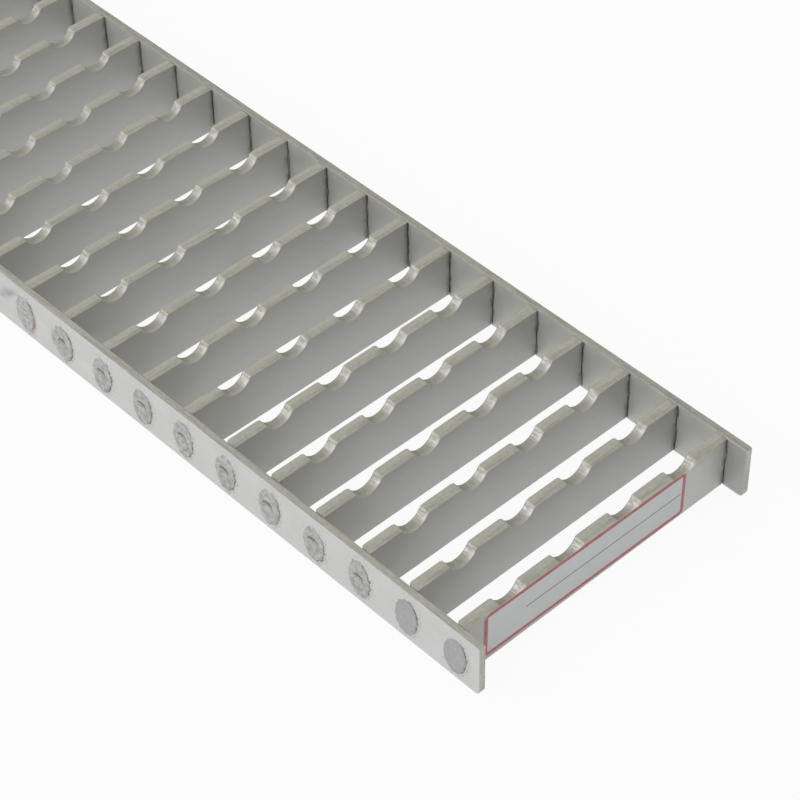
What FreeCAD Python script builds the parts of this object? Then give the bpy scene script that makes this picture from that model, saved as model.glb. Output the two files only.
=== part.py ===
import FreeCAD, Part
import math
import os
import Sketcher

# Ladder drain grate: two flat bars on edge, joined by plate rungs with scalloped tops.
# Millimetres. +X runs along the rails, +Y across the grate, +Z up.
# The origin is on the floor, at the middle of the grate.

SIZES = {
    # Over the whole grate, without the weld marks
    "grate_length": 500.0,
    "grate_width": 143.0,
    # Side rails
    "rail_height": 25.0,
    "rail_thickness": 3.0,
    "rail_foot_radius": 2.0,
    "rail_top_radius": 1.0,
    # Rungs, set a little inside the rails at top and bottom
    "rung_pitch": 25.0,
    "rung_thickness": 5.0,
    "rung_top_drop": 0.5,
    "rung_foot_lift": 0.65,
    # Round scallops in each rung's top edge
    "scallop_pitch": 30.0,
    "scallop_radius": 7.0,
    "scallop_depth": 4.3,
    # Welded lands at the rungs' ends: beside them the rung stands clear of the rail
    "land_height": 8.0,
    "shoulder_gap": 0.6,
    # Oval weld marks on the rails' outer faces
    "weld_length": 12.2,
    "weld_height": 18.4,
    "weld_rise": 0.35,
    "weld_centre_height": 12.0,
    # Blank label on the end rung, stuck on a little askew
    "label_left_margin": 9.1,
    "label_right_margin": 22.4,
    "label_edge_margin": 0.925,
    "label_thickness": 0.15,
    "label_corner_radius": 1.5,
    "label_askew_angle": 0.7,
}

# Sizes that several pieces share, as expressions on the sheet
INNER_WIDTH = "(dims.grate_width - 2 * dims.rail_thickness)"
RUNG_HEIGHT = "(dims.rail_height - dims.rung_top_drop - dims.rung_foot_lift)"
RUNG_TOP = "(dims.rail_height - dims.rung_top_drop)"
RUNG_MIDDLE = f"(dims.rung_foot_lift + {RUNG_HEIGHT} / 2)"

ALONG = FreeCAD.Vector(1, 0, 0)
ACROSS = FreeCAD.Vector(0, 1, 0)
UP = FreeCAD.Vector(0, 0, 1)
PARALLEL_TOLERANCE = 1e-6

doc = FreeCAD.newDocument("ladder_drain_grate")
dims = doc.addObject("Spreadsheet::Sheet", "dims")
for row, (alias, value) in enumerate(SIZES.items(), start=1):
    dims.set(f"A{row}", alias)
    dims.set(f"B{row}", str(value))
    dims.setAlias(f"B{row}", alias)
doc.recompute()

# As many rungs as fit in the length, and as many scallops as fit between the rails
clear_width = dims.grate_width - 2 * dims.rail_thickness
rung_count = int(dims.grate_length // dims.rung_pitch)
scallop_count = int(clear_width // dims.scallop_pitch)


def add_body(node):
    body = doc.addObject("PartDesign::Body", node)
    body.Label = node
    return body


def origin_feature(body, role):
    return next(feature for feature in body.Origin.OriginFeatures if feature.Role == role)


def add_sketch(body, name, plane):
    sketch = body.newObject("Sketcher::SketchObject", f"{body.Name}_{name}")
    sketch.AttachmentSupport = [(origin_feature(body, plane), "")]
    sketch.MapMode = "FlatFace"
    return sketch


def constrain(sketch, name, expression, *constraint):
    """Add a named dimension to the sketch and bind it to the sheet."""
    value = sketch.evalExpression(expression)
    index = sketch.addConstraint(Sketcher.Constraint(*constraint, float(value)))
    sketch.renameConstraint(index, name)
    sketch.setExpression(f"Constraints.{name}", expression)


def add_rectangle(sketch, width, height, centre_height=None):
    """Rectangle centred across the sketch, standing on its axis or centred at a height."""
    side = dims.rail_height
    corners = [(-side, 0), (side, 0), (side, side), (-side, side)]
    points = [FreeCAD.Vector(x, y, 0) for x, y in corners]
    for start, end in zip(points, points[1:] + points[:1]):
        sketch.addGeometry(Part.LineSegment(start, end))
    bottom, right, top, left = range(4)
    for first, second in ((bottom, right), (right, top), (top, left), (left, bottom)):
        sketch.addConstraint(Sketcher.Constraint("Coincident", first, 2, second, 1))
    sketch.addConstraint(Sketcher.Constraint("Horizontal", top))
    for line in (right, left):
        sketch.addConstraint(Sketcher.Constraint("Vertical", line))
    sketch.addConstraint(Sketcher.Constraint("Symmetric", bottom, 1, bottom, 2, -2))
    constrain(sketch, "width", width, "DistanceX", bottom, 1, bottom, 2)
    constrain(sketch, "height", height, "DistanceY", right, 1, right, 2)
    if centre_height is None:
        sketch.addConstraint(Sketcher.Constraint("PointOnObject", bottom, 1, -1))
    else:
        constrain(sketch, "foot", f"{centre_height} - ({height}) / 2", "DistanceY", -1, 1, bottom, 1)


def add_pad(body, name, sketch, length, side="One side", inward=False):
    pad = body.newObject("PartDesign::Pad", f"{body.Name}_{name}")
    pad.Profile = sketch
    pad.SideType = side
    pad.Reversed = inward
    pad.setExpression("Length", length)
    doc.recompute()
    return pad


def add_row(body, name, feature, axis, spacing, count):
    """Repeat a feature in a row along one of the body's axes."""
    row = body.newObject("PartDesign::LinearPattern", f"{body.Name}_{name}")
    row.Originals = [feature]
    row.Direction = (origin_feature(body, axis), [""])
    row.Mode = "Spacing"
    row.setExpression("Offset", spacing)
    row.Occurrences = count
    body.Tip = row
    doc.recompute()
    return row


def round_edges(body, name, base, radius, direction, chosen):
    """Round the straight edges that run along a direction and whose middle point is chosen."""
    names = []
    for index, edge in enumerate(base.Shape.Edges, start=1):
        run = edge.lastVertex().Point - edge.firstVertex().Point
        along = run.Length > 0 and run.normalize().isParallel(direction, PARALLEL_TOLERANCE)
        if along and chosen(edge.CenterOfMass):
            names.append(f"Edge{index}")
    fillet = body.newObject("PartDesign::Fillet", f"{body.Name}_{name}")
    fillet.Base = (base, names)
    fillet.setExpression("Radius", radius)
    doc.recompute()
    return fillet


def make_rail(node, side):
    """Flat bar on edge, with its outer face on the body's XZ plane and its weld marks on that face."""
    body = add_body(node)
    outline = add_sketch(body, "outline", "XZ_Plane")
    add_rectangle(outline, "dims.grate_length", "dims.rail_height")
    bar = add_pad(body, "bar", outline, "dims.rail_thickness", inward=True)

    half_height = dims.rail_height / 2
    feet = round_edges(body, "feet", bar, "dims.rail_foot_radius", ACROSS, lambda point: point.z < half_height)
    round_edges(body, "tops", feet, "dims.rail_top_radius", ACROSS, lambda point: point.z > half_height)

    weld_outline = add_sketch(body, "weld_outline", "XZ_Plane")
    add_weld_oval(weld_outline)
    weld = add_pad(body, "weld", weld_outline, "dims.weld_rise")
    add_row(body, "welds", weld, "X_Axis", "dims.rung_pitch", rung_count)

    facing = 0 if side < 0 else 180
    body.Placement = FreeCAD.Placement(FreeCAD.Vector(), FreeCAD.Rotation(UP, facing))
    body.setExpression("Placement.Base.y", f"{side} * dims.grate_width / 2")
    return body


def add_weld_oval(sketch):
    """Upright oval of two equal arcs outside the last rung, where the row of weld marks starts."""
    bulge = (dims.weld_height ** 2 + dims.weld_length ** 2) / (4 * dims.weld_length)
    spread = math.asin(dims.weld_height / 2 / bulge)
    first = -(rung_count - 1) / 2 * dims.rung_pitch
    for side in (1, -1):
        centre = FreeCAD.Vector(first + side * (dims.weld_length / 2 - bulge), dims.weld_centre_height, 0)
        middle = 0 if side > 0 else math.pi
        arc = Part.ArcOfCircle(Part.Circle(centre, UP, bulge), middle - spread, middle + spread)
        sketch.addGeometry(arc)
    right, left = range(2)
    sketch.addConstraint(Sketcher.Constraint("Coincident", right, 2, left, 1))
    sketch.addConstraint(Sketcher.Constraint("Coincident", left, 2, right, 1))
    sketch.addConstraint(Sketcher.Constraint("Vertical", right, 1, right, 2))
    sketch.addConstraint(Sketcher.Constraint("Equal", right, left))
    constrain(sketch, "bulge", "(dims.weld_height ^ 2 + dims.weld_length ^ 2) / (4 * dims.weld_length)",
              "Radius", right)
    constrain(sketch, "height", "dims.weld_height", "DistanceY", right, 1, right, 2)
    constrain(sketch, "foot", "dims.weld_centre_height - dims.weld_height / 2", "DistanceY", -1, 1, right, 1)
    constrain(sketch, "back", f"{rung_count - 1} / 2 * dims.rung_pitch", "DistanceX", right, 1, -1, 1)


def make_rung(number):
    """Plate on edge across the grate. Rung 1 is the one nearest the +X end."""
    body = add_body(f"rung_{number:02d}")
    plate_outline = add_sketch(body, "plate_outline", "YZ_Plane")
    add_rectangle(plate_outline, f"{INNER_WIDTH} - 2 * dims.shoulder_gap", RUNG_HEIGHT, RUNG_MIDDLE)
    add_pad(body, "plate", plate_outline, "dims.rung_thickness", side="Symmetric")

    land_outline = add_sketch(body, "land_outline", "YZ_Plane")
    add_rectangle(land_outline, INNER_WIDTH, "dims.land_height", RUNG_MIDDLE)
    add_pad(body, "lands", land_outline, "dims.rung_thickness", side="Symmetric")

    circle = add_sketch(body, "scallop_circle", "YZ_Plane")
    circle.addGeometry(Part.Circle(FreeCAD.Vector(), UP, dims.scallop_radius))
    constrain(circle, "radius", "dims.scallop_radius", "Radius", 0)
    constrain(circle, "across", f"{scallop_count - 1} / 2 * dims.scallop_pitch", "DistanceX", 0, 3, -1, 1)
    constrain(circle, "up", f"{RUNG_TOP} - dims.scallop_depth + dims.scallop_radius",
              "DistanceY", -1, 1, 0, 3)
    scallop = body.newObject("PartDesign::Pocket", f"{body.Name}_scallop")
    scallop.Profile = circle
    scallop.Type = "ThroughAll"
    scallop.SideType = "Symmetric"
    doc.recompute()
    add_row(body, "scallops", scallop, "Y_Axis", "dims.scallop_pitch", scallop_count)

    body.setExpression("Placement.Base.x", rung_place(number))
    return body


def rung_place(number):
    return f"({(rung_count + 1) / 2 - number} * dims.rung_pitch)"


def make_label():
    """Thin sheet on the outer face of rung 1."""
    body = add_body("end_label")
    outline = add_sketch(body, "outline", "YZ_Plane")
    add_rectangle(outline, f"{INNER_WIDTH} - dims.label_left_margin - dims.label_right_margin",
                  f"{RUNG_HEIGHT} - 2 * dims.label_edge_margin", "0")
    sheet = add_pad(body, "sheet", outline, "dims.label_thickness")
    round_edges(body, "corners", sheet, "dims.label_corner_radius", ALONG, lambda point: True)

    askew = FreeCAD.Rotation(-ALONG, dims.label_askew_angle)
    body.Placement = FreeCAD.Placement(FreeCAD.Vector(), askew)
    body.setExpression("Placement.Base.x", f"{rung_place(1)} + dims.rung_thickness / 2")
    body.setExpression("Placement.Base.y", "(dims.label_left_margin - dims.label_right_margin) / 2")
    body.setExpression("Placement.Base.z", RUNG_MIDDLE)
    return body


bodies = [make_rail("rail_left", -1), make_rail("rail_right", 1)]
bodies += [make_rung(number) for number in range(1, rung_count + 1)]
bodies.append(make_label())
doc.recompute()

for item in doc.Objects:
    if "Invalid" in item.State or "Error" in item.State:
        raise RuntimeError(f"{item.Label} failed to compute")
for body in bodies:
    if body.Shape.isNull() or not body.Shape.isValid() or len(body.Shape.Solids) != 1:
        raise RuntimeError(f"{body.Label} is not one valid solid")

os.makedirs("parts", exist_ok=True)
for body in bodies:
    body.Shape.exportStep(os.path.join("parts", f"{body.Label}.step"))
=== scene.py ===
import math
import bpy
import numpy as np
from mathutils import Matrix, Vector


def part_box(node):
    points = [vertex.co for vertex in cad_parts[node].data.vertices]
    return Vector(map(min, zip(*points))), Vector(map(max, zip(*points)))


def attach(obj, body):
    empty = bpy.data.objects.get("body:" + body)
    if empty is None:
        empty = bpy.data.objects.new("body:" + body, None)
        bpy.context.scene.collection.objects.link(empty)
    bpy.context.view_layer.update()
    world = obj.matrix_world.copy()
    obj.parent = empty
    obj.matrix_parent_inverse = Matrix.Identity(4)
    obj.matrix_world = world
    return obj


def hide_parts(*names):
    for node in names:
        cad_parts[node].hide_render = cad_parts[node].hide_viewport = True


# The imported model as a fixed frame, and its box before any piece is added
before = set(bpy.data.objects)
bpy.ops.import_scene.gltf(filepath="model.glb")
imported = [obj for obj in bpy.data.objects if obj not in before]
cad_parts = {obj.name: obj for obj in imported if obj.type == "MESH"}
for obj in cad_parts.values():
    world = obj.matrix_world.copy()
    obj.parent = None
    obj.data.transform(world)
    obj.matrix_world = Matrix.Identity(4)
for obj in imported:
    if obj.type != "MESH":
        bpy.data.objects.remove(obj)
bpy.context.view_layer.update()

# Ladder drain grate of satin stainless steel: two flat rails, twenty scalloped rungs, a film label.
# The shapes are worked out in millimetres and written to the meshes in metres.
MM = 0.001
BODY = "root"

# Rails, with the radii of their long edges and of the lower and upper corners of their ends
RAIL_THICKNESS = 3.0
RAIL_HEIGHT = 25.0
RAIL_EDGE_RADIUS = 0.15
RAIL_FOOT_RADIUS = 2.0
RAIL_TOP_RADIUS = 1.0

# Weld marks on the rails' outer faces, and how far along the rail each one's paint reaches
WELD_LENGTH = 12.2
WELD_HEIGHT = 18.4
WELD_CENTRE = 12.0
WELD_RISE = 0.35
WELD_FIELD = 10.0

# Relief of a weld mark: its skin, its rim, its crater and the ring of its pool
SKIN_RISE = 0.20
RIM_RISE = 0.11
CRATER_SINK = 0.18
RING_SINK = 0.05

# Rungs; a pitch starts midway between two of them
RUNG_COUNT = 20
RUNG_PITCH = 25.0
RUNG_THICKNESS = 5.0
RUNG_BACK = (RUNG_PITCH - RUNG_THICKNESS) / 2
RUNG_FRONT = (RUNG_PITCH + RUNG_THICKNESS) / 2
END_RUNG_FACE = (RUNG_COUNT - 1) / 2 * RUNG_PITCH + RUNG_THICKNESS / 2
TOP_CORNER_RADIUS = 0.28
FOOT_CORNER_RADIUS = 0.4

# Scallops in the rungs' tops, with a small rounded lip at each side
SCALLOP_COUNT = 4
SCALLOP_PITCH = 30.0
SCALLOP_RADIUS = 7.0
SCALLOP_DEPTH = 4.3
LIP_RADIUS = 0.9
SCALLOP_RISE = SCALLOP_RADIUS - SCALLOP_DEPTH
LIP_OFFSET = math.sqrt((SCALLOP_RADIUS + LIP_RADIUS) ** 2 - (SCALLOP_RISE + LIP_RADIUS) ** 2)
LIP_ANGLE = math.degrees(math.atan2(SCALLOP_RISE + LIP_RADIUS, -LIP_OFFSET))

# Roundings of a rung's front and back edges, and how much they are lightened by wear and a painted
# highlight, by part of the outline
FRONT_RADII = {"foot": 0.03, "end": 0.12, "top": 0.2, "lip": 0.2, "scallop": 0.35}
BACK_RADII = {"foot": 0.12, "end": 0.12, "top": 0.03, "lip": 0.4, "scallop": 0.45}
SHINES = {"foot": 0.5, "end": 0.0, "top": 0.5, "lip": 0.5, "scallop": 0.8}

# Rung by rung from the label's end: the back edge of the left end is rolled over, and the foot
# stands above or below the plain rung's
END_ROLL_RADII = [1.45] * 6 + [0.3] * 14
END_ROLL_REACH = 6.0
FOOT_LIFTS = [-0.25, -0.1, -0.1, 0.05, 0.0, 0.3, 0.4, -0.5, -0.15, 0.65, -0.2, 1.3, 1.7] + [0.0] * 7

# The gap between a rung's left end and the rail at the top, wider where the end is rolled over
LEFT_GAP = 0.27
LEFT_GAP_PER_ROLL = 0.15

# Label, with its red border and its thin rule line, placed from the label's middle
LABEL_WIDTH = 105.5
LABEL_HEIGHT = 22.0
LABEL_CORNER = 1.5
LABEL_TILT = 0.7
BORDER_CORNER = 2.4
BORDER_MARGIN = 0.1
BORDER_WIDTH = 1.7
BORDER_SOFTNESS = 0.08
RULE_ACROSS = 9.5
RULE_UP = 0.45
RULE_HALF_LENGTH = 41.0

# Painted shade on the rails' inner faces, and the wavy seams there, which stop lower behind the rungs
RAIL_SHADE_START = 9.0
RAIL_SHADE_STOP = 21.0
SEAM_WAVER = 0.75
SEAM_CORE = 0.18
SEAM_EDGE = 0.48
SEAM_TOP_BEHIND = 22.4
SEAM_TOP_IN_FRONT = 24.0
SEAM_FADE = 0.4

# Painted shade on the rungs' faces: upwards, towards the left end, and in the corners close to the
# rails
RUNG_SHADE_START = 16.0
RUNG_SHADE_STOP = 24.5
HEATED_START = -68.0
HEATED_STOP = -20.0
SOOT_START = 65.5
SOOT_STOP = 68.3

# A weld mark's edge, rim line and ripple line, as shares of the way from its middle to its outline
WELD_EDGE = 0.96
WELD_RIM = 0.965
WELD_RIPPLE = 0.83

# Colours
STAIN = (0.36, 0.39, 0.40, 1.0)
HEAT_TINT = (0.50, 0.40, 0.33, 1.0)
ROUGH_WELD = (0.51, 0.51, 0.50, 1.0)
SMOOTH_WELD = (0.45, 0.44, 0.46, 1.0)
PALE_WELD = (0.62, 0.62, 0.61, 1.0)
DULL_WELD = (0.36, 0.355, 0.35, 1.0)
FILM_DARK = (0.66, 0.68, 0.70, 1.0)
FILM_LIGHT = (0.71, 0.725, 0.745, 1.0)
RULE_INK = (0.06, 0.06, 0.07, 1.0)
BORDER_RED = (0.51, 0.08, 0.09, 1.0)
GUM_DARK = (0.60, 0.60, 0.57, 1.0)
GUM_LIGHT = (0.68, 0.68, 0.66, 1.0)
FLOOR_WHITE = (0.88, 0.88, 0.88, 1.0)
ROOM_LIGHT = (0.60, 0.595, 0.58, 1.0)

# How far each finish is bare metal, the rest being a dull pickled or rolled skin
RAIL_METALLIC = 0.7
RUNG_METALLIC = 0.7
EDGE_METALLIC = 0.8

# Depth of the fine relief on steel and on film
STEEL_RELIEF = 0.2
FILM_RELIEF = 0.1

# Where the meshes are cut across: the rails from their ends, across each weld mark and clear of it,
# and the rungs from the rounding of their back edge
END_CUTS = (0.0, 0.03, 0.08, 0.15, 0.3, 0.5, 0.75, 1.0, 1.3, 1.65, 2.0)
WELD_CUTS = 41
WELD_CUT_REACH = 8.4
CLEAR_CUT = 10.5
ROLL_CUTS = (0.12, 0.3, 0.55, 0.85, 1.2, 1.6)

# Seeds of the unevenness
RUNG_SEED = 7
LEFT_RAIL_SEED = 11
RIGHT_RAIL_SEED = 12
LABEL_SEED = 31

# Floor, lamp and camera as the picture was taken; the floor and the lamp are in metres
FLOOR_HALF = 12.0
FLOOR_DROP = 0.0002
LAMP_PLACE = (-0.8, -1.9, 1.2)
LAMP_SIZE = 2.4
LAMP_POWER = 16.0
LENS = 117.197
SENSOR = 36.0
EYE = (667.185, -488.371, 718.250)
AZIMUTH = 42.4466
ELEVATION = 44.1267
ROLL = -1.0599


# Number helpers

def ease(start, stop, value):
    """0 before start, 1 after stop, and smooth between them."""
    share = np.clip((value - start) / (stop - start), 0.0, 1.0)
    return share * share * (3.0 - 2.0 * share)


def bump(value, width):
    """A bell that is 1 at 0 and falls away over width."""
    return np.exp(-(value / width) ** 2)


def wobble(rng, slowest, fastest, count=6):
    """A smooth seeded unevenness along a line, mostly within -1 to 1, as a function."""
    rates = rng.uniform(slowest, fastest, count)
    phases = rng.uniform(0.0, 2.0 * math.pi, count)
    shares = rng.uniform(0.5, 1.0, count)
    shares = shares / shares.sum() * 1.6

    def height(value):
        waves = np.sin(np.multiply.outer(value, rates) + phases)
        return waves @ shares

    return height


def round_off(distance, radius):
    """How far a rounded corner stands in from the square one, at a distance from its side."""
    within = np.clip(radius - distance, 0.0, radius)
    return radius - np.sqrt(radius ** 2 - within ** 2)


# Outline helpers

def arc(centre, radius, start, stop, count):
    """Points of an arc; the angles are in degrees."""
    angles = np.radians(np.linspace(start, stop, count))
    across = centre[0] + radius * np.cos(angles)
    up = centre[1] + radius * np.sin(angles)
    return np.column_stack([across, up])


def level(start, stop, count, up):
    """Points along a line at one height."""
    return np.column_stack([np.linspace(start, stop, count), np.full(count, up)])


def join_runs(runs):
    """The points of an outline's runs in one array, and the kind of each point."""
    points = np.concatenate([run for run, kind in runs])
    kinds = np.concatenate([np.full(len(run), kind) for run, kind in runs])
    return points, kinds


# Mesh helpers

def make_piece(name, points, faces, picks, materials, flat=()):
    """A mesh object from points in millimetres; picks gives each face its material."""
    mesh = bpy.data.meshes.new(name)
    mesh.from_pydata((points * MM).tolist(), [], faces)
    for material in materials:
        mesh.materials.append(material)
    mesh.polygons.foreach_set("material_index", picks)
    smooth = np.ones(len(faces), bool)
    smooth[list(flat)] = False
    mesh.polygons.foreach_set("use_smooth", smooth)
    mesh.update()
    piece = bpy.data.objects.new(name, mesh)
    bpy.context.scene.collection.objects.link(piece)
    return piece


def paint(piece, name, values):
    """A number for each point of the mesh, which the materials read."""
    layer = piece.data.attributes.new(name, "FLOAT", "POINT")
    layer.data.foreach_set("value", np.asarray(values, np.float32).ravel())


def skin(rings, size):
    """The faces between rings of points: a closed tube, with its two caps last."""
    step = np.arange(size)
    after = (step + 1) % size
    faces = []
    for ring in range(rings - 1):
        low = ring * size
        high = low + size
        quads = np.column_stack([low + step, low + after, high + after, high + step])
        faces.extend(quads.tolist())
    faces.append(step[::-1].tolist())
    faces.append(((rings - 1) * size + step).tolist())
    return faces


def sheet_faces(wide, tall):
    """The faces of a thin sheet from two grids of points: its front, its rear and its four sides."""
    total = wide * tall
    cell = np.add.outer(np.arange(wide - 1) * tall, np.arange(tall - 1)).ravel()
    left = np.arange(tall - 1)
    right = left + (wide - 1) * tall
    bottom = np.arange(wide - 1) * tall
    top = bottom + tall - 1
    front = np.column_stack([cell, cell + tall, cell + tall + 1, cell + 1])
    rear = front[:, ::-1] + total
    sides = [
        np.column_stack([left, left + 1, left + 1 + total, left + total]),
        np.column_stack([right + 1, right, right + total, right + 1 + total]),
        np.column_stack([bottom + tall, bottom, bottom + total, bottom + tall + total]),
        np.column_stack([top, top + tall, top + tall + total, top + total]),
    ]
    return front, rear, np.concatenate(sides)


# Material helpers

class Nodes:
    """A material's node tree, with short calls for the nodes that the materials use."""

    def __init__(self, name):
        self.material = bpy.data.materials.new(name)
        self.material.use_nodes = True
        self.tree = self.material.node_tree
        self.shader = self.tree.nodes["Principled BSDF"]
        self.place = self.add("ShaderNodeTexCoord").outputs["Object"]

    def add(self, kind):
        return self.tree.nodes.new(kind)

    def wire(self, source, socket):
        if isinstance(source, bpy.types.NodeSocket):
            self.tree.links.new(source, socket)
        else:
            socket.default_value = source

    def stretch(self, scale):
        """The place on the part, scaled along each axis."""
        node = self.add("ShaderNodeMapping")
        node.inputs["Scale"].default_value = scale
        self.wire(self.place, node.inputs["Vector"])
        return node.outputs["Vector"]

    def split(self, vector):
        """The three numbers of a place or a direction."""
        node = self.add("ShaderNodeSeparateXYZ")
        self.wire(vector, node.inputs["Vector"])
        return node.outputs

    def noise(self, scale, detail=3.0, vector=None):
        node = self.add("ShaderNodeTexNoise")
        node.inputs["Scale"].default_value = scale
        node.inputs["Detail"].default_value = detail
        self.wire(vector or self.place, node.inputs["Vector"])
        return node.outputs["Fac"]

    def span(self, value, low, high, bottom=0.0, top=1.0):
        """The value's range from low to high, spread smoothly over bottom to top."""
        node = self.add("ShaderNodeMapRange")
        node.interpolation_type = "SMOOTHSTEP"
        self.wire(value, node.inputs["Value"])
        self.wire(low, node.inputs["From Min"])
        self.wire(high, node.inputs["From Max"])
        self.wire(bottom, node.inputs["To Min"])
        self.wire(top, node.inputs["To Max"])
        return node.outputs["Result"]

    def math(self, kind, first, second=0.0):
        node = self.add("ShaderNodeMath")
        node.operation = kind
        self.wire(first, node.inputs[0])
        self.wire(second, node.inputs[1])
        return node.outputs["Value"]

    def times(self, first, *others):
        for other in others:
            first = self.math("MULTIPLY", first, other)
        return first

    def largest(self, first, *others):
        for other in others:
            first = self.math("MAXIMUM", first, other)
        return first

    def off(self, value, line):
        """How far a value is from a line, on either side."""
        return self.math("ABSOLUTE", self.math("SUBTRACT", value, line))

    def mix(self, share, first, second):
        node = self.add("ShaderNodeMix")
        node.data_type = "RGBA"
        self.wire(share, node.inputs["Factor"])
        self.wire(first, node.inputs["A"])
        self.wire(second, node.inputs["B"])
        return node.outputs["Result"]

    def layer(self, name):
        """A number painted on the mesh."""
        node = self.add("ShaderNodeAttribute")
        node.attribute_name = name
        return node.outputs["Fac"]

    def relief(self, height, strength, depth):
        node = self.add("ShaderNodeBump")
        node.inputs["Strength"].default_value = strength
        node.inputs["Distance"].default_value = depth * MM
        self.wire(height, node.inputs["Height"])
        self.wire(node.outputs["Normal"], self.shader.inputs["Normal"])

    def finish(self, colour, roughness, metallic):
        self.wire(colour, self.shader.inputs["Base Color"])
        self.wire(roughness, self.shader.inputs["Roughness"])
        self.shader.inputs["Metallic"].default_value = metallic
        return self.material


def grey(value, warmth=0.0):
    """A grey for a metal; warmth takes away blue and a little green."""
    return (value, value * (1.0 - 0.05 * warmth), value * (1.0 - warmth), 1.0)


# Materials of the rails

def rung_phase(nodes):
    """The place along the grate within one pitch, in metres: 0 midway between two rungs."""
    along = nodes.split(nodes.place)["X"]
    return nodes.math("FLOORED_MODULO", along, RUNG_PITCH * MM)


def rail_sheet(nodes, cloud, rolled):
    """The bare sheet: pale outside, greyer inside, with painted shade on the inner face towards the
    top and beyond the end rungs.
    """
    place = nodes.split(nodes.place)
    inner = nodes.layer("inner")
    colour = nodes.mix(nodes.span(cloud, 0.3, 0.7), grey(0.655), grey(0.705))
    colour = nodes.mix(nodes.span(rolled, 0.45, 0.75, 0.0, 0.25), colour, grey(0.58))
    colour = nodes.mix(inner, colour, grey(0.67, 0.03))
    phase = rung_phase(nodes)
    # Painted shade: the inner face grows darker towards its top, behind and in front of each rung
    behind = nodes.span(phase, RUNG_BACK * MM, (RUNG_FRONT + 1.0) * MM, 1.0, 0.0)
    in_front = nodes.span(phase, (RUNG_FRONT + 2.0) * MM, RUNG_PITCH * MM)
    upper = nodes.span(place["Z"], RAIL_SHADE_START * MM, RAIL_SHADE_STOP * MM, 0.0, 0.7)
    shaded = nodes.times(nodes.largest(behind, in_front), inner, upper)
    colour = nodes.mix(shaded, colour, grey(0.54, 0.03))
    # Painted shade: the inner face beyond the end rungs is darker still
    from_middle = nodes.math("ABSOLUTE", place["X"])
    beyond = nodes.span(from_middle, END_RUNG_FACE * MM, (END_RUNG_FACE + 0.8) * MM)
    return nodes.mix(nodes.times(beyond, inner), colour, grey(0.50, 0.03))


def weld_skin(nodes, lobes, patch, rough):
    """A weld mark's colour: plain where it is smooth, with pale and dull patches where it is rough."""
    colour = nodes.mix(nodes.layer("tint"), ROUGH_WELD, SMOOTH_WELD)
    pale = nodes.times(nodes.span(lobes, 0.42, 0.62, 0.0, 0.75), rough)
    colour = nodes.mix(pale, colour, PALE_WELD)
    dull = nodes.times(nodes.span(patch, 0.47, 0.6, 0.0, 0.6), rough)
    return nodes.mix(dull, colour, DULL_WELD)


def weld_lines(nodes, ragged, patch):
    """The dark parts of a weld mark: its broken rim, a ripple within, its crater and its ring; the rim
    and the ripple are painted darker on the side away from the lamp, as painted shade.
    """
    fine = nodes.noise(1100.0, 4.0)
    # Painted shade: the rim and the ripple grow darker on the side away from the lamp
    toward = nodes.span(nodes.layer("shade"), 0.0, 1.0, 0.12, 1.0)
    broken = nodes.times(nodes.span(patch, 0.34, 0.52, 0.3, 1.0), toward)
    rim = nodes.times(nodes.span(nodes.off(ragged, WELD_RIM), 0.015, 0.055, 0.9, 0.0), broken)
    ripple = nodes.span(nodes.off(ragged, WELD_RIPPLE), 0.01, 0.07, 0.45, 0.0)
    ripple = nodes.times(ripple, broken, nodes.span(fine, 0.42, 0.6))
    crater = nodes.math("ADD", nodes.layer("pit"), nodes.span(fine, 0.3, 0.7, -0.2, 0.2))
    crater = nodes.span(crater, 0.2, 0.85, 0.0, 0.75)
    ring = nodes.times(nodes.layer("ring"), 0.28)
    return nodes.largest(rim, ripple, crater, ring)


def weld_spatter(nodes):
    """Fine dark specks close round a weld mark."""
    reach = nodes.layer("reach")
    around = nodes.times(nodes.span(reach, 0.98, 1.02), nodes.span(reach, 1.0, 1.6, 1.0, 0.0))
    toward = nodes.span(nodes.layer("shade"), 0.0, 1.0, 0.45, 1.0)
    specks = nodes.span(nodes.noise(1500.0, 1.0), 0.635, 0.675)
    return nodes.times(specks, around, toward, 0.85)


def rung_seam(nodes):
    """A wavy dark line on the rail's inner face, close beside both faces of each rung."""
    phase = rung_phase(nodes)
    middle = RUNG_PITCH / 2
    off_centre = nodes.off(phase, middle * MM)
    waver = nodes.span(nodes.noise(120.0, 1.0), 0.3, 0.7, 0.0, SEAM_WAVER * MM)
    off_line = nodes.off(off_centre, nodes.math("ADD", waver, RUNG_THICKNESS / 2 * MM))
    line = nodes.span(off_line, SEAM_CORE * MM, SEAM_EDGE * MM, 1.0, 0.0)
    strength = nodes.span(nodes.noise(300.0, 2.0), 0.35, 0.6, 0.6, 1.0)
    lowest = SEAM_TOP_BEHIND * MM
    highest = SEAM_TOP_IN_FRONT * MM
    stop = nodes.span(phase, (middle - 0.1) * MM, (middle + 0.1) * MM, lowest, highest)
    over = nodes.math("SUBTRACT", nodes.split(nodes.place)["Z"], stop)
    below = nodes.span(over, 0.0, SEAM_FADE * MM, 1.0, 0.0)
    return nodes.times(line, strength, below, nodes.layer("inner"))


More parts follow.
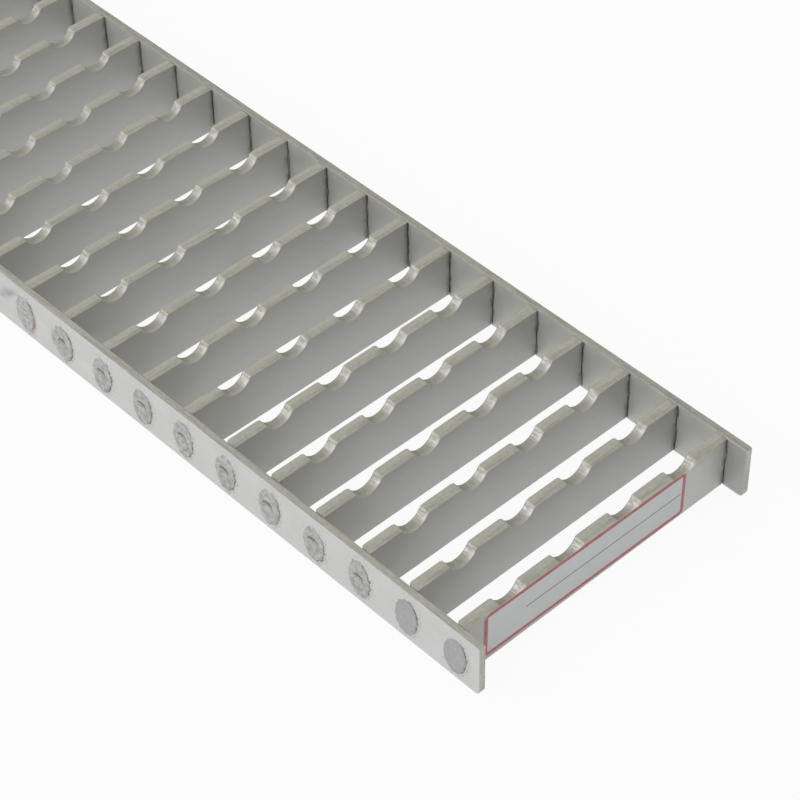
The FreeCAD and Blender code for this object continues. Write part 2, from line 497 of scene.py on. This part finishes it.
def rail_face_steel():
    """Pale pickled sheet with stains, heat tint and weld marks outside, dark seams inside, and painted
    shade on the inner face and on one side of each weld rim.
    """
    nodes = Nodes("rail_face_steel")
    cloud = nodes.noise(70.0, 4.0)
    rolled = nodes.noise(900.0, 2.0, nodes.stretch((0.04, 1.0, 1.0)))
    grain = nodes.noise(2600.0, 2.0)
    lobes = nodes.noise(650.0, 3.0)
    patch = nodes.noise(420.0, 3.0)
    colour = rail_sheet(nodes, cloud, rolled)
    colour = nodes.mix(nodes.layer("stain"), colour, STAIN)
    colour = nodes.mix(nodes.layer("burn"), colour, HEAT_TINT)
    rough = nodes.span(nodes.layer("tint"), 0.3, 1.0, 1.0, 0.35)
    uneven = nodes.times(nodes.span(lobes, 0.3, 0.7, -0.05, 0.05), rough)
    ragged = nodes.math("ADD", nodes.layer("reach"), uneven)
    on_weld = nodes.span(ragged, WELD_EDGE - 0.02, WELD_EDGE + 0.02, 1.0, 0.0)
    colour = nodes.mix(on_weld, colour, weld_skin(nodes, lobes, patch, rough))
    dark = nodes.largest(weld_lines(nodes, ragged, patch), weld_spatter(nodes), rung_seam(nodes))
    colour = nodes.mix(dark, colour, grey(0.13, 0.08))
    roughness = nodes.span(cloud, 0.25, 0.75, 0.54, 0.64)
    height = nodes.math("ADD", nodes.times(rolled, 0.4), grain)
    nodes.relief(height, 0.12, STEEL_RELIEF)
    return nodes.finish(colour, roughness, RAIL_METALLIC)


# Materials of the rungs and of the cut edges

def rung_face_steel():
    """Greyer rolled sheet, with painted shade towards the top, towards the left end and in the corners
    against the rails.
    """
    nodes = Nodes("rung_face_steel")
    place = nodes.split(nodes.place)
    cloud = nodes.noise(60.0, 4.0)
    rolled = nodes.noise(1000.0, 2.0, nodes.stretch((1.0, 0.03, 1.0)))
    grain = nodes.noise(2400.0, 2.0)
    colour = nodes.mix(nodes.span(cloud, 0.3, 0.7), grey(0.565, 0.02), grey(0.615, 0.02))
    colour = nodes.mix(nodes.span(rolled, 0.4, 0.75, 0.0, 0.25), colour, grey(0.51, 0.03))
    # Painted shade: darker towards the top
    upper = nodes.span(place["Z"], RUNG_SHADE_START * MM, RUNG_SHADE_STOP * MM, 0.0, 0.38)
    colour = nodes.mix(upper, colour, grey(0.45, 0.03))
    # Painted shade: darker towards the left end, beside the left rail
    heated = nodes.span(place["Y"], HEATED_START * MM, HEATED_STOP * MM, 0.75, 0.0)
    colour = nodes.mix(heated, colour, grey(0.45, 0.09))
    # Painted shade: darker, in patches, in the corners against the rails
    soot = nodes.span(nodes.math("ABSOLUTE", place["Y"]), SOOT_START * MM, SOOT_STOP * MM)
    soot = nodes.times(soot, nodes.span(nodes.noise(180.0, 3.0), 0.3, 0.65))
    colour = nodes.mix(soot, colour, grey(0.34, 0.12))
    roughness = nodes.span(cloud, 0.25, 0.75, 0.56, 0.66)
    height = nodes.math("ADD", nodes.times(rolled, 0.6), grain)
    nodes.relief(height, 0.12, STEEL_RELIEF)
    return nodes.finish(colour, roughness, RUNG_METALLIC)


def cut_edge_steel(name, scale, tone, warmth, shine):
    """Sheared or sawn edge: mottled olive grey with faint fine lines, lighter along its rounded edges
    by wear and a painted highlight.
    """
    nodes = Nodes(name)
    lines = nodes.noise(1300.0, 3.0, nodes.stretch(scale))
    cloud = nodes.noise(160.0, 4.0)
    mottle = nodes.noise(640.0, 4.0)
    colour = nodes.mix(nodes.span(cloud, 0.3, 0.7), grey(tone, warmth), grey(tone + 0.05, warmth))
    colour = nodes.mix(nodes.span(mottle, 0.42, 0.66, 0.0, 0.5), colour, grey(tone - 0.10, warmth))
    colour = nodes.mix(nodes.span(lines, 0.48, 0.6, 0.0, 0.6), colour, grey(tone - 0.14, warmth))
    through = nodes.layer("through")
    rear = nodes.times(nodes.span(through, 0.0, 0.1), nodes.span(through, 0.25, 0.8, 0.5, 0.0))
    colour = nodes.mix(rear, colour, grey(tone + 0.12, warmth))
    # Lighter along the rounded edges: wear, and a painted highlight
    colour = nodes.mix(nodes.layer("edge"), colour, grey(tone + shine, warmth))
    roughness = nodes.span(mottle, 0.3, 0.7, 0.46, 0.6)
    nodes.relief(nodes.math("ADD", lines, mottle), 0.2, STEEL_RELIEF)
    return nodes.finish(colour, roughness, EDGE_METALLIC)


def punched_steel():
    """Scallop wall: fine marks through the plate where it sheared, a smooth paler band in front,
    painted shade where it looks up, and edges lightened by wear and a painted highlight.
    """
    nodes = Nodes("punched_steel")
    marks = nodes.noise(2200.0, 3.0, nodes.stretch((0.12, 1.0, 1.0)))
    cloud = nodes.noise(520.0, 4.0)
    band = nodes.span(nodes.layer("through"), 0.5, 0.85)
    facing = nodes.add("ShaderNodeNewGeometry").outputs["Normal"]
    # Painted shade: the faces that look up are darker and warmer than the walls
    upward = nodes.span(nodes.split(facing)["Z"], 0.72, 1.0)
    colour = nodes.mix(upward, grey(0.59, 0.05), grey(0.54, 0.15))
    sheared = nodes.span(band, 0.0, 1.0, 1.0, 0.2)
    scored = nodes.times(nodes.span(marks, 0.42, 0.62, 0.0, 0.75), sheared)
    colour = nodes.mix(scored, colour, grey(0.42, 0.12))
    colour = nodes.mix(nodes.span(cloud, 0.42, 0.66, 0.0, 0.4), colour, grey(0.45, 0.12))
    colour = nodes.mix(nodes.times(band, 0.5), colour, grey(0.62, 0.05))
    # Lighter along the rounded edges: wear, and a painted highlight
    colour = nodes.mix(nodes.layer("edge"), colour, grey(0.66, 0.04))
    roughness = nodes.span(marks, 0.3, 0.7, 0.42, 0.56)
    nodes.relief(nodes.math("ADD", scored, nodes.times(cloud, 0.6)), 0.35, STEEL_RELIEF)
    return nodes.finish(colour, roughness, 1.0)


# Materials of the label

def label_depth(nodes, across, up):
    """How far a place on the label lies inside its outline, taken with the border's corners."""
    past_x = nodes.math("SUBTRACT", nodes.math("ABSOLUTE", across), LABEL_WIDTH / 2 - BORDER_CORNER)
    past_y = nodes.math("SUBTRACT", nodes.math("ABSOLUTE", up), LABEL_HEIGHT / 2 - BORDER_CORNER)
    out_x = nodes.math("POWER", nodes.largest(past_x, 0.0), 2.0)
    out_y = nodes.math("POWER", nodes.largest(past_y, 0.0), 2.0)
    corner = nodes.math("SQRT", nodes.math("ADD", out_x, out_y))
    straight = nodes.math("MINIMUM", nodes.largest(past_x, past_y), 0.0)
    return nodes.math("SUBTRACT", BORDER_CORNER, nodes.math("ADD", corner, straight))


def label_film():
    """White film with a red line round it and a thin rule line."""
    nodes = Nodes("label_film")
    uv = nodes.add("ShaderNodeUVMap")
    uv.uv_map = "film"
    flat = nodes.split(uv.outputs["UV"])
    depth = label_depth(nodes, flat["X"], flat["Y"])
    outside = BORDER_MARGIN
    inside = BORDER_MARGIN + BORDER_WIDTH
    enter = nodes.span(depth, outside - BORDER_SOFTNESS, outside + BORDER_SOFTNESS)
    leave = nodes.span(depth, inside - BORDER_SOFTNESS, inside + BORDER_SOFTNESS)
    ink = nodes.span(nodes.noise(500.0, 3.0), 0.3, 0.7, 0.86, 1.0)
    border = nodes.times(nodes.math("SUBTRACT", enter, leave), ink)
    cloud = nodes.noise(90.0, 3.0)
    film = nodes.mix(nodes.span(cloud, 0.3, 0.7), FILM_DARK, FILM_LIGHT)
    rule = nodes.span(nodes.off(flat["Y"], RULE_UP), 0.18, 0.36, 1.0, 0.0)
    along = nodes.off(flat["X"], RULE_ACROSS)
    run = nodes.span(along, RULE_HALF_LENGTH - 0.2, RULE_HALF_LENGTH + 0.2, 0.8, 0.0)
    colour = nodes.mix(nodes.times(rule, run), film, RULE_INK)
    colour = nodes.mix(border, colour, BORDER_RED)
    roughness = nodes.span(cloud, 0.3, 0.7, 0.36, 0.46)
    nodes.relief(nodes.noise(1800.0, 2.0), 0.06, FILM_RELIEF)
    return nodes.finish(colour, roughness, 0.0)


def label_backing():
    """The film's gummed side, which shows through the scallops from behind."""
    nodes = Nodes("label_backing")
    cloud = nodes.noise(240.0, 4.0)
    colour = nodes.mix(nodes.span(cloud, 0.35, 0.65), GUM_DARK, GUM_LIGHT)
    roughness = nodes.span(cloud, 0.3, 0.7, 0.45, 0.6)
    nodes.relief(nodes.noise(900.0, 3.0), 0.1, FILM_RELIEF)
    return nodes.finish(colour, roughness, 0.0)


# Rungs

def end_gap(up, at_top, rng):
    """How far the rung's end stands off the rail: uneven, and at_top by its upper edge."""
    gap = rng.uniform(0.12, 0.22) + 0.09 * wobble(rng, 0.5, 2.2)(up)
    share = ease(up[-1] - 3.0, up[-1], up)
    return np.maximum(gap * (1.0 - share) + at_top * share, 0.03)


def scallop_runs(middle, top):
    """One scallop of the outline, from right to left: a lip, the round bowl and the other lip."""
    lip_up = top - LIP_RADIUS
    bowl = arc((middle, top + SCALLOP_RISE), SCALLOP_RADIUS, LIP_ANGLE - 180, -LIP_ANGLE, 27)
    return [
        (arc((middle + LIP_OFFSET, lip_up), LIP_RADIUS, 90, LIP_ANGLE, 6), "lip"),
        (bowl[1:-1], "scallop"),
        (arc((middle - LIP_OFFSET, lip_up), LIP_RADIUS, 180 - LIP_ANGLE, 90, 6), "lip"),
    ]


def rung_outline(half, foot, top, roll_radius, rng):
    """The rung's outline, counter-clockwise in (Y, Z), and what each of its points belongs to."""
    heights = np.linspace(foot + FOOT_CORNER_RADIUS, top - TOP_CORNER_RADIUS, 46)
    right = half - end_gap(heights, rng.uniform(0.03, 0.08), rng)
    left_at_top = rng.uniform(0.8, 1.2) * (LEFT_GAP + LEFT_GAP_PER_ROLL * roll_radius)
    left = -half + end_gap(heights, left_at_top, rng)
    foot_left = left[0] + FOOT_CORNER_RADIUS
    foot_right = right[0] - FOOT_CORNER_RADIUS
    top_left = left[-1] + TOP_CORNER_RADIUS
    top_right = right[-1] - TOP_CORNER_RADIUS
    first = (SCALLOP_COUNT - 1) / 2 * SCALLOP_PITCH
    runs = []
    runs.append((level(foot_left + 0.3, foot_right - 0.3, 9, foot), "foot"))
    runs.append((arc((foot_right, heights[0]), FOOT_CORNER_RADIUS, 270, 360, 5), "end"))
    runs.append((np.column_stack([right, heights])[1:-1], "end"))
    runs.append((arc((top_right, heights[-1]), TOP_CORNER_RADIUS, 0, 90, 7), "top"))
    runs.append((level(top_right - 0.5, first + LIP_OFFSET + 0.5, 16, top), "top"))
    for number in range(SCALLOP_COUNT):
        middle = first - number * SCALLOP_PITCH
        if number:
            start = middle + SCALLOP_PITCH - LIP_OFFSET - 0.4
            runs.append((level(start, middle + LIP_OFFSET + 0.4, 6, top), "top"))
        runs.extend(scallop_runs(middle, top))
    runs.append((level(-first - LIP_OFFSET - 0.5, top_left + 0.5, 16, top), "top"))
    runs.append((arc((top_left, heights[-1]), TOP_CORNER_RADIUS, 90, 180, 7), "top"))
    runs.append((np.column_stack([left, heights])[-2:0:-1], "end"))
    runs.append((arc((foot_left, heights[0]), FOOT_CORNER_RADIUS, 180, 270, 5), "end"))
    return join_runs(runs)


def inward_normals(points):
    """The inward direction at each point of a counter-clockwise outline, lengthened at corners."""
    before = points - np.roll(points, 1, axis=0)
    after = np.roll(points, -1, axis=0) - points
    before = before / np.linalg.norm(before, axis=1)[:, None]
    after = after / np.linalg.norm(after, axis=1)[:, None]
    left_before = np.column_stack([-before[:, 1], before[:, 0]])
    left_after = np.column_stack([-after[:, 1], after[:, 0]])
    middle = left_before + left_after
    middle = middle / np.linalg.norm(middle, axis=1)[:, None]
    share = np.sum(middle * left_before, axis=1)
    return middle / np.maximum(share, 0.6)[:, None]


def edge_ring(points, inward, face, radii, angle):
    """A ring round a softened edge of the plate; the radii are negative at its front face."""
    inset = np.abs(radii) * (1.0 - math.cos(angle))
    depth = face + radii * (1.0 - math.sin(angle))
    return np.column_stack([depth, points + inward * inset[:, None]])


def rung_rings(points, kinds, low, high, roll):
    """The plate's rings from back to front, their wear and painted highlight, and how many strips the
    roll covers.
    """
    inward = inward_normals(points)
    front = np.array([FRONT_RADII[kind] for kind in kinds])
    back = np.array([BACK_RADII[kind] for kind in kinds])
    shine = np.array([SHINES[kind] for kind in kinds])
    bare = np.zeros(len(points))
    angles = np.radians([90.0, 60.0, 30.0, 0.0])
    rings = []
    worn = []
    for angle in angles:
        rings.append(edge_ring(points, inward, low, back, angle))
        worn.append(0.3 * shine * math.sin(2.0 * angle))
    for past in ROLL_CUTS:
        rings.append(np.column_stack([low + back + past, points]))
        worn.append(bare)
    rolled_strips = len(rings) - 1
    rings.append(np.column_stack([high - front - ROLL_CUTS[0], points]))
    worn.append(bare)
    from_left = points[:, 0] - points[:, 0].min()
    squeeze = 1.0 - np.minimum(from_left / END_ROLL_REACH, 1.0)
    for ring in rings:
        ring[:, 1] += squeeze * round_off(ring[:, 0] - low, roll)
    for angle in angles[::-1]:
        rings.append(edge_ring(points, inward, high, -front, angle))
        worn.append(shine * math.sin(2.0 * angle))
    return rings, worn, rolled_strips


def make_rung(node, roll_radius, lift, rng, materials):
    """A plate with softened edges; the back edge of its left end is rolled over."""
    low, high = [np.array(corner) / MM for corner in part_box(node)]
    points, kinds = rung_outline(high[1], low[2] + lift, high[2], roll_radius, rng)
    roll = roll_radius * rng.uniform(0.8, 1.15)
    rings, worn, rolled_strips = rung_rings(points, kinds, low[0], high[0], roll)
    faces = skin(len(rings), len(points))
    face_slot, edge_slot, scallop_slot, end_slot = range(len(materials))
    rolled = np.where(kinds == "scallop", scallop_slot, edge_slot)
    straight = np.where(kinds == "end", end_slot, rolled)
    straight_strips = len(rings) - 1 - rolled_strips
    caps = [face_slot, face_slot]
    picks = np.concatenate([np.tile(rolled, rolled_strips), np.tile(straight, straight_strips), caps])
    flat = (len(faces) - 2, len(faces) - 1)
    solid = np.concatenate(rings)
    piece = make_piece(node.replace("rung", "rung_plate"), solid, faces, picks, materials, flat)
    paint(piece, "edge", np.concatenate(worn))
    paint(piece, "through", (solid[:, 0] - low[0]) / RUNG_THICKNESS)
    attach(piece, BODY)
    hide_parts(node)


# Rails

def rail_columns(half, rungs):
    """Where the rail is cut across along its length: close together at its ends and at each weld."""
    near_end = half - np.array(END_CUTS)
    columns = [near_end, -near_end]
    for centre in rungs:
        columns.append(centre + np.linspace(-WELD_CUT_REACH, WELD_CUT_REACH, WELD_CUTS))
        columns.append(centre + np.array([-CLEAR_CUT, CLEAR_CUT]))
    return np.unique(np.round(np.concatenate(columns), 3))


def rail_profile():
    """The left rail's section as (Y, Z) points, counter-clockwise, and what each point belongs to."""
    radius = RAIL_EDGE_RADIUS
    outer = -RAIL_THICKNESS / 2
    inner = RAIL_THICKNESS / 2
    top = RAIL_HEIGHT - radius
    start = outer + radius
    stop = inner - radius
    inner_rows = np.linspace(radius, top, 26)[1:-1]
    outer_rows = np.linspace(top, radius, 60)[1:-1]
    runs = []
    runs.append((arc((start, radius), radius, 180, 270, 4), "corner"))
    runs.append((level(start + 0.15, stop - 0.15, 2, 0.0), "cut"))
    runs.append((arc((stop, radius), radius, 270, 360, 4), "corner"))
    runs.append((np.column_stack([np.full(len(inner_rows), inner), inner_rows]), "inner"))
    runs.append((arc((stop, top), radius, 0, 90, 4), "corner"))
    runs.append((level(stop - 0.15, start + 0.15, 2, RAIL_HEIGHT), "cut"))
    runs.append((arc((start, top), radius, 90, 180, 4), "corner"))
    runs.append((np.column_stack([np.full(len(outer_rows), outer), outer_rows]), "outer"))
    return join_runs(runs)


def weld_crater(across, up, crater, inside, rng):
    """The drooping pit of a weld mark's crater and the ring of the pool below it, 0 to 1."""
    pit_x = across - rng.uniform(-0.9, -0.1)
    pit_z = up - rng.uniform(1.5, 2.2) + rng.uniform(-0.08, 0.12) * pit_x
    droop = rng.uniform(0.25, 0.6) * np.maximum(np.abs(pit_x) - 0.9, 0.0) ** 2
    pit = bump(pit_z + droop, rng.uniform(0.75, 1.1) * (1.15 - 0.14 * np.abs(pit_x)))
    pit = pit * ease(-3.4, -2.0, pit_x) * (1.0 - ease(2.0, 3.4, pit_x)) * crater
    pool = np.hypot(across + 0.4, up + 2.6)
    ring = bump(pool - rng.uniform(2.4, 3.3), 0.4) * crater * inside
    return pit, ring


def weld_mark(across, up, crater, rng):
    """One weld mark's relief in millimetres and its paint, around the middle of the rung's end."""
    up = up - rng.uniform(-0.6, -0.1)
    across = across - rng.uniform(0.1, 0.4) - rng.uniform(0.03, 0.12) * up
    wide = WELD_LENGTH / 2 * rng.uniform(0.97, 1.02)
    tall = WELD_HEIGHT / 2 * rng.uniform(1.0, 1.04)
    angle = np.arctan2(up / tall, across / wide)
    turns = rng.integers(2, 15, 7)
    phases = rng.uniform(0.0, 2.0 * math.pi, 7)
    uneven = sum(np.sin(turn * angle + phase) for turn, phase in zip(turns, phases)) / len(turns)
    reach = np.hypot(across / wide, up / tall) * (1.0 + 0.05 * uneven)
    inside = 1.0 - ease(0.92, 1.0, reach)
    # The side of the mark away from the lamp, where its rim is painted darker as painted shade and
    # where most spatter lies
    side = 0.5 + 0.5 * np.cos(angle - math.radians(rng.uniform(-45.0, 5.0)))
    pit, ring = weld_crater(across, up, crater, inside, rng)
    rim = bump(reach - 0.90, 0.07)
    rise = SKIN_RISE * inside + RIM_RISE * rim - CRATER_SINK * pit - RING_SINK * ring
    burnt = 1.2 - crater if crater else 0.15
    lower_right = ease(0.3, 0.9, np.cos(angle + math.radians(20.0)))
    smoothness = rng.uniform(0.0, 0.3) if crater else 1.0
    masks = {
        "burn": burnt * bump(reach - 1.08, 0.1) * lower_right,
        "reach": np.minimum(reach, 2.0),
        "shade": side ** 1.5,
        "pit": pit,
        "ring": ring,
        "tint": np.full_like(reach, smoothness),
    }
    return np.clip(rise, -0.1, WELD_RISE - 0.02), masks


def stain_mask(across, up, place, height, length, width, lean, depth):
    """A soft slanting stain that fades more slowly upwards."""
    along = (across - place) * math.cos(lean) + (up - height) * math.sin(lean)
    beside = (up - height) * math.cos(lean) - (across - place) * math.sin(lean)
    fade = np.where(beside < 0.0, width, width * 1.8)
    return depth * bump(along, length) * bump(beside, fade)


def rail_paint(columns, across, up, is_outer, rungs, craters, stains, rng):
    """The relief of the rail's outer face, and the paint of its weld marks and stains."""
    rise = np.zeros_like(across)
    masks = {key: np.zeros_like(across) for key in ("burn", "shade", "pit", "ring", "tint", "stain")}
    masks["reach"] = np.full_like(across, 2.0)
    for centre, crater in zip(rungs, craters):
        near = np.abs(columns - centre) < WELD_FIELD
        part_rise, part_masks = weld_mark(across[near] - centre, up[near] - WELD_CENTRE, crater, rng)
        rise[near] = np.where(is_outer, part_rise, 0.0)
        for key, values in part_masks.items():
            masks[key][near] = np.where(is_outer, values, masks[key][near])
    for stain in stains:
        mask = np.where(is_outer, stain_mask(across, up, *stain), 0.0)
        masks["stain"] = np.maximum(masks["stain"], mask)
    return rise, masks


def make_rail(node, name, seed, rungs, craters, stains, turn, materials):
    """A bar with rounded edges and weld marks; a turn of -1 faces it the other way, for the right."""
    low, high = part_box(node)
    rungs = [centre * turn for centre in rungs]
    columns = rail_columns(high.x / MM, rungs)
    profile, kinds = rail_profile()
    across, up = np.meshgrid(columns, profile[:, 1], indexing="ij")
    rng = np.random.default_rng(seed)
    rise, masks = rail_paint(columns, across, up, kinds == "outer", rungs, craters, stains, rng)
    masks["inner"] = np.tile(kinds == "inner", (len(columns), 1))
    from_end = np.abs(columns).max() - np.abs(columns)
    foot = round_off(from_end, RAIL_FOOT_RADIUS)
    top = RAIL_HEIGHT - round_off(from_end, RAIL_TOP_RADIUS)
    slim = round_off(from_end, RAIL_EDGE_RADIUS)
    up = foot[:, None] + up / RAIL_HEIGHT * (top - foot)[:, None]
    sides = profile[:, 0] * (1.0 - slim * 2.0 / RAIL_THICKNESS)[:, None] - rise
    inner_face = min(abs(low.y), abs(high.y)) / MM
    centre_line = -inner_face - RAIL_THICKNESS / 2
    points = np.stack([across * turn, (sides + centre_line) * turn, up], axis=2).reshape(-1, 3)
    faces = skin(len(columns), len(profile))
    face_slot, edge_slot, end_slot = range(len(materials))
    on_edge = (kinds == "corner") | (kinds == "cut")
    strip = np.where(on_edge & np.roll(on_edge, -1), edge_slot, face_slot)
    picks = np.concatenate([np.tile(strip, len(columns) - 1), [end_slot, end_slot]])
    flat = (len(faces) - 2, len(faces) - 1)
    piece = make_piece(name, points, faces, picks, materials, flat)
    # The rounded corners and ends are painted lighter: wear, and a painted highlight
    worn_long = np.where(kinds == "corner", 0.05, 0.0)
    worn_end = np.where(slim > 0.02, 0.2, 0.0)
    paint(piece, "edge", np.maximum(worn_long, worn_end[:, None]))
    for key, values in masks.items():
        paint(piece, key, values)
    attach(piece, BODY)
    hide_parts(node)


# Label

def make_label(node, materials):
    """A thin film on the first rung, slightly wavy and set askew; it bridges the scallops."""
    low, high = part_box(node)
    middle = (np.array(low) + np.array(high)) / 2 / MM
    back = low.x / MM
    thick = (high.x - low.x) / MM
    across = np.linspace(-LABEL_WIDTH / 2, LABEL_WIDTH / 2, 141)
    rows = np.linspace(-1.0, 1.0, 25)
    trim = round_off(LABEL_WIDTH / 2 - np.abs(across), LABEL_CORNER)
    flat_x = np.repeat(across, len(rows))
    flat_y = np.outer(LABEL_HEIGHT / 2 - trim, rows).ravel()
    tilt = math.radians(-LABEL_TILT)
    side = middle[1] + flat_x * math.cos(tilt) - flat_y * math.sin(tilt)
    up = middle[2] + flat_x * math.sin(tilt) + flat_y * math.cos(tilt)
    rng = np.random.default_rng(LABEL_SEED)
    wave_x = wobble(rng, 0.08, 0.4)(flat_x)
    wave_y = wobble(rng, 0.15, 0.6)(flat_y)
    lift = thick * (0.86 + 0.07 * wave_x * wave_y)
    front = np.column_stack([back + lift, side, up])
    rear = np.column_stack([np.full(len(side), back), side, up])
    front_faces, rear_faces, side_faces = sheet_faces(len(across), len(rows))
    faces = np.concatenate([front_faces, rear_faces, side_faces]).tolist()
    film_slot, backing_slot = range(len(materials))
    picks = np.full(len(faces), film_slot)
    picks[len(front_faces):len(front_faces) + len(rear_faces)] = backing_slot
    piece = make_piece("end_label_film", np.concatenate([front, rear]), faces, picks, materials)
    flat = np.column_stack([np.tile(flat_x, 2), np.tile(flat_y, 2)])
    corners = np.zeros(len(piece.data.loops), np.int32)
    piece.data.loops.foreach_get("vertex_index", corners)
    layer = piece.data.uv_layers.new(name="film")
    layer.data.foreach_set("uv", flat[corners].astype(np.float32).ravel())
    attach(piece, BODY)
    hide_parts(node)


# Stage, light and camera

def floor_paint():
    """White paint that shows nearly as pure white, also in the steel, and keeps a soft shadow."""
    nodes = Nodes("floor_white")
    nodes.shader.inputs["Base Color"].default_value = FLOOR_WHITE
    nodes.shader.inputs["Roughness"].default_value = 0.9
    glow = nodes.add("ShaderNodeEmission")
    path = nodes.add("ShaderNodeLightPath").outputs
    mirrored = nodes.times(nodes.largest(path["Is Glossy Ray"], path["Is Transmission Ray"]), 0.9)
    share = nodes.largest(nodes.times(path["Is Camera Ray"], 0.93), mirrored)
    blend = nodes.add("ShaderNodeMixShader")
    nodes.wire(share, blend.inputs["Fac"])
    nodes.wire(nodes.shader.outputs["BSDF"], blend.inputs[1])
    nodes.wire(glow.outputs["Emission"], blend.inputs[2])
    nodes.wire(blend.outputs["Shader"], nodes.tree.nodes["Material Output"].inputs["Surface"])
    return nodes.material


def make_floor():
    """A plain floor, a hair below the part's feet."""
    half = FLOOR_HALF
    mesh = bpy.data.meshes.new("floor")
    corners = [(-half, -half, 0.0), (half, -half, 0.0), (half, half, 0.0), (-half, half, 0.0)]
    mesh.from_pydata(corners, [], [(0, 1, 2, 3)])
    mesh.materials.append(floor_paint())
    floor = bpy.data.objects.new("floor", mesh)
    floor.location.z = -FLOOR_DROP
    bpy.context.scene.collection.objects.link(floor)


def make_light():
    """An even room and one large soft lamp on the left rail's side."""
    world = bpy.data.worlds.new("soft_room")
    world.use_nodes = True
    world.node_tree.nodes["Background"].inputs["Color"].default_value = ROOM_LIGHT
    bpy.context.scene.world = world
    data = bpy.data.lights.new("key", "AREA")
    data.shape = "DISK"
    data.size = LAMP_SIZE
    data.energy = LAMP_POWER
    lamp = bpy.data.objects.new("key", data)
    lamp.location = LAMP_PLACE
    lamp.rotation_mode = "QUATERNION"
    lamp.rotation_quaternion = (-Vector(LAMP_PLACE)).to_track_quat("-Z", "Y")
    bpy.context.scene.collection.objects.link(lamp)


def make_camera():
    """The camera above the near left corner, as the picture was taken."""
    data = bpy.data.cameras.new("camera")
    data.lens = LENS
    data.sensor_width = SENSOR
    data.sensor_fit = "HORIZONTAL"
    data.clip_start = 0.05
    camera = bpy.data.objects.new("camera", data)
    bpy.context.scene.collection.objects.link(camera)
    azimuth = math.radians(AZIMUTH)
    elevation = math.radians(ELEVATION)
    level_share = math.cos(elevation)
    ahead_x = -level_share * math.cos(azimuth)
    ahead_y = level_share * math.sin(azimuth)
    forward = Vector((ahead_x, ahead_y, -math.sin(elevation)))
    turn = forward.to_track_quat("-Z", "Y").to_matrix()
    turn = Matrix.Rotation(-math.radians(ROLL), 3, forward) @ turn
    camera.matrix_world = Matrix.Translation(Vector(EYE) * MM) @ turn.to_4x4()
    bpy.context.scene.camera = camera


bpy.context.scene.view_settings.view_transform = "Standard"

# Finishes; a cut edge has the stretch of its fine lines, its tone, its warmth and the lift of its
# edges, which is wear and a painted highlight
rail_face = rail_face_steel()
# The left rail's top and corners are painted lighter and the right rail's darker: painted light and
# painted shade on one steel
left_edge = cut_edge_steel("lit_left_rail_edge_steel", (0.05, 1.0, 1.0), 0.605, 0.10, 0.08)
right_edge = cut_edge_steel("shaded_right_rail_edge_steel", (0.05, 1.0, 1.0), 0.535, 0.10, 0.02)
rail_end = cut_edge_steel("rail_end_steel", (1.0, 1.0, 0.05), 0.47, 0.03, 0.09)
rung_face = rung_face_steel()
rung_edge = cut_edge_steel("rung_edge_steel", (1.0, 0.05, 1.0), 0.57, 0.12, 0.09)
# The rungs' ends, in the narrow gaps against the rails, are nearly black: heat tint from welding, and
# painted shade in the gaps
rung_end = cut_edge_steel("rung_end_steel", (1.0, 1.0, 0.05), 0.14, 0.08, 0.09)
rung_finishes = [rung_face, rung_edge, punched_steel(), rung_end]
left_finishes = [rail_face, left_edge, rail_end]
right_finishes = [rail_face, right_edge, rail_end]
label_finishes = [label_film(), label_backing()]

# Rungs, from the label's end
rung_names = [f"rung_{number:02d}" for number in range(1, RUNG_COUNT + 1)]
rung_boxes = [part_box(name) for name in rung_names]
rung_places = [(low.x + high.x) / 2 / MM for low, high in rung_boxes]
dice = np.random.default_rng(RUNG_SEED)
for rung, roll_radius, lift in zip(rung_names, END_ROLL_RADII, FOOT_LIFTS):
    make_rung(rung, roll_radius, lift, dice, rung_finishes)

# Rails, with the depth of each weld's crater, from 0 for a smooth mark to 1, from the label's end.
# A stain has its place, height, length, width, slant and strength.
left_craters = [0.0, 0.0] + [1.0] * 8 + [0.35] + [1.0] * 9
right_craters = dice.choice([0.0, 1.0], RUNG_COUNT, p=[0.2, 0.8])
stains = [(-23.5, 15.2, 7.5, 1.2, 0.62, 0.95), (6.3, 9.8, 1.4, 3.0, 0.0, 0.8)]
make_rail("rail_left", "rail_bar_left", LEFT_RAIL_SEED,
          rung_places, left_craters, stains, 1, left_finishes)
make_rail("rail_right", "rail_bar_right", RIGHT_RAIL_SEED,
          rung_places, right_craters, [], -1, right_finishes)
make_label("end_label", label_finishes)

make_floor()
make_light()
make_camera()

bpy.context.view_layer.update()
